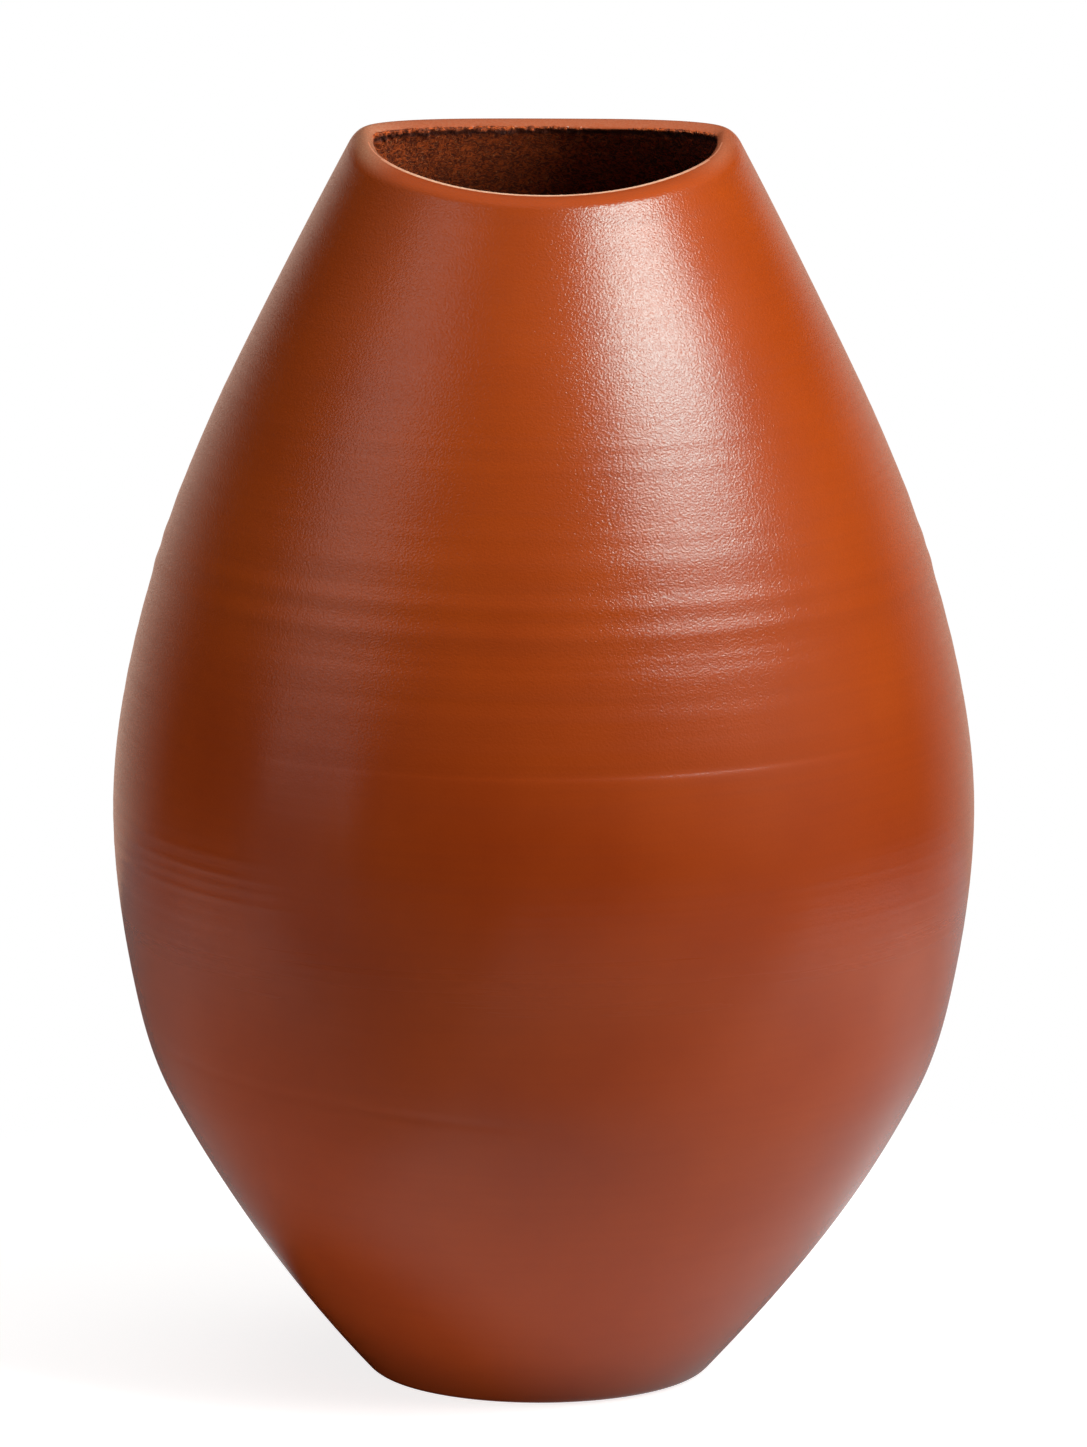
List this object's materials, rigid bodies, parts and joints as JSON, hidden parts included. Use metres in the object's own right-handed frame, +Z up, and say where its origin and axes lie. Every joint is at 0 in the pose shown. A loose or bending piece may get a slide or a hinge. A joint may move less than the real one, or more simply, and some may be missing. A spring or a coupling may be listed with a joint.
{
  "type": "teardrop vase",
  "caption": "Tall unglazed terracotta teardrop vase with a narrow foot, full belly, ringed shoulder and a slanted D-shaped mouth, built of luted thrown sections.",
  "frame": {"origin": "centre of the foot, on the surface the vase stands on", "axes": "+Z up along the throwing axis, -Y towards the round front of the mouth, +X to the right seen from the front"},
  "size_m": [0.273, 0.273, 0.3993],
  "materials": {
    "burnished_terracotta": "burnished bare clay, satin, with finger rings",
    "bare_terracotta": "turned and sponged bare clay, matt"
  },
  "bodies": {
    "root": {"base_slab": "bare_terracotta", "lower_body": "burnished_terracotta", "belly": "burnished_terracotta", "shoulder": "burnished_terracotta", "neck": "burnished_terracotta", "lip": "burnished_terracotta"}
  },
  "joints": []
}
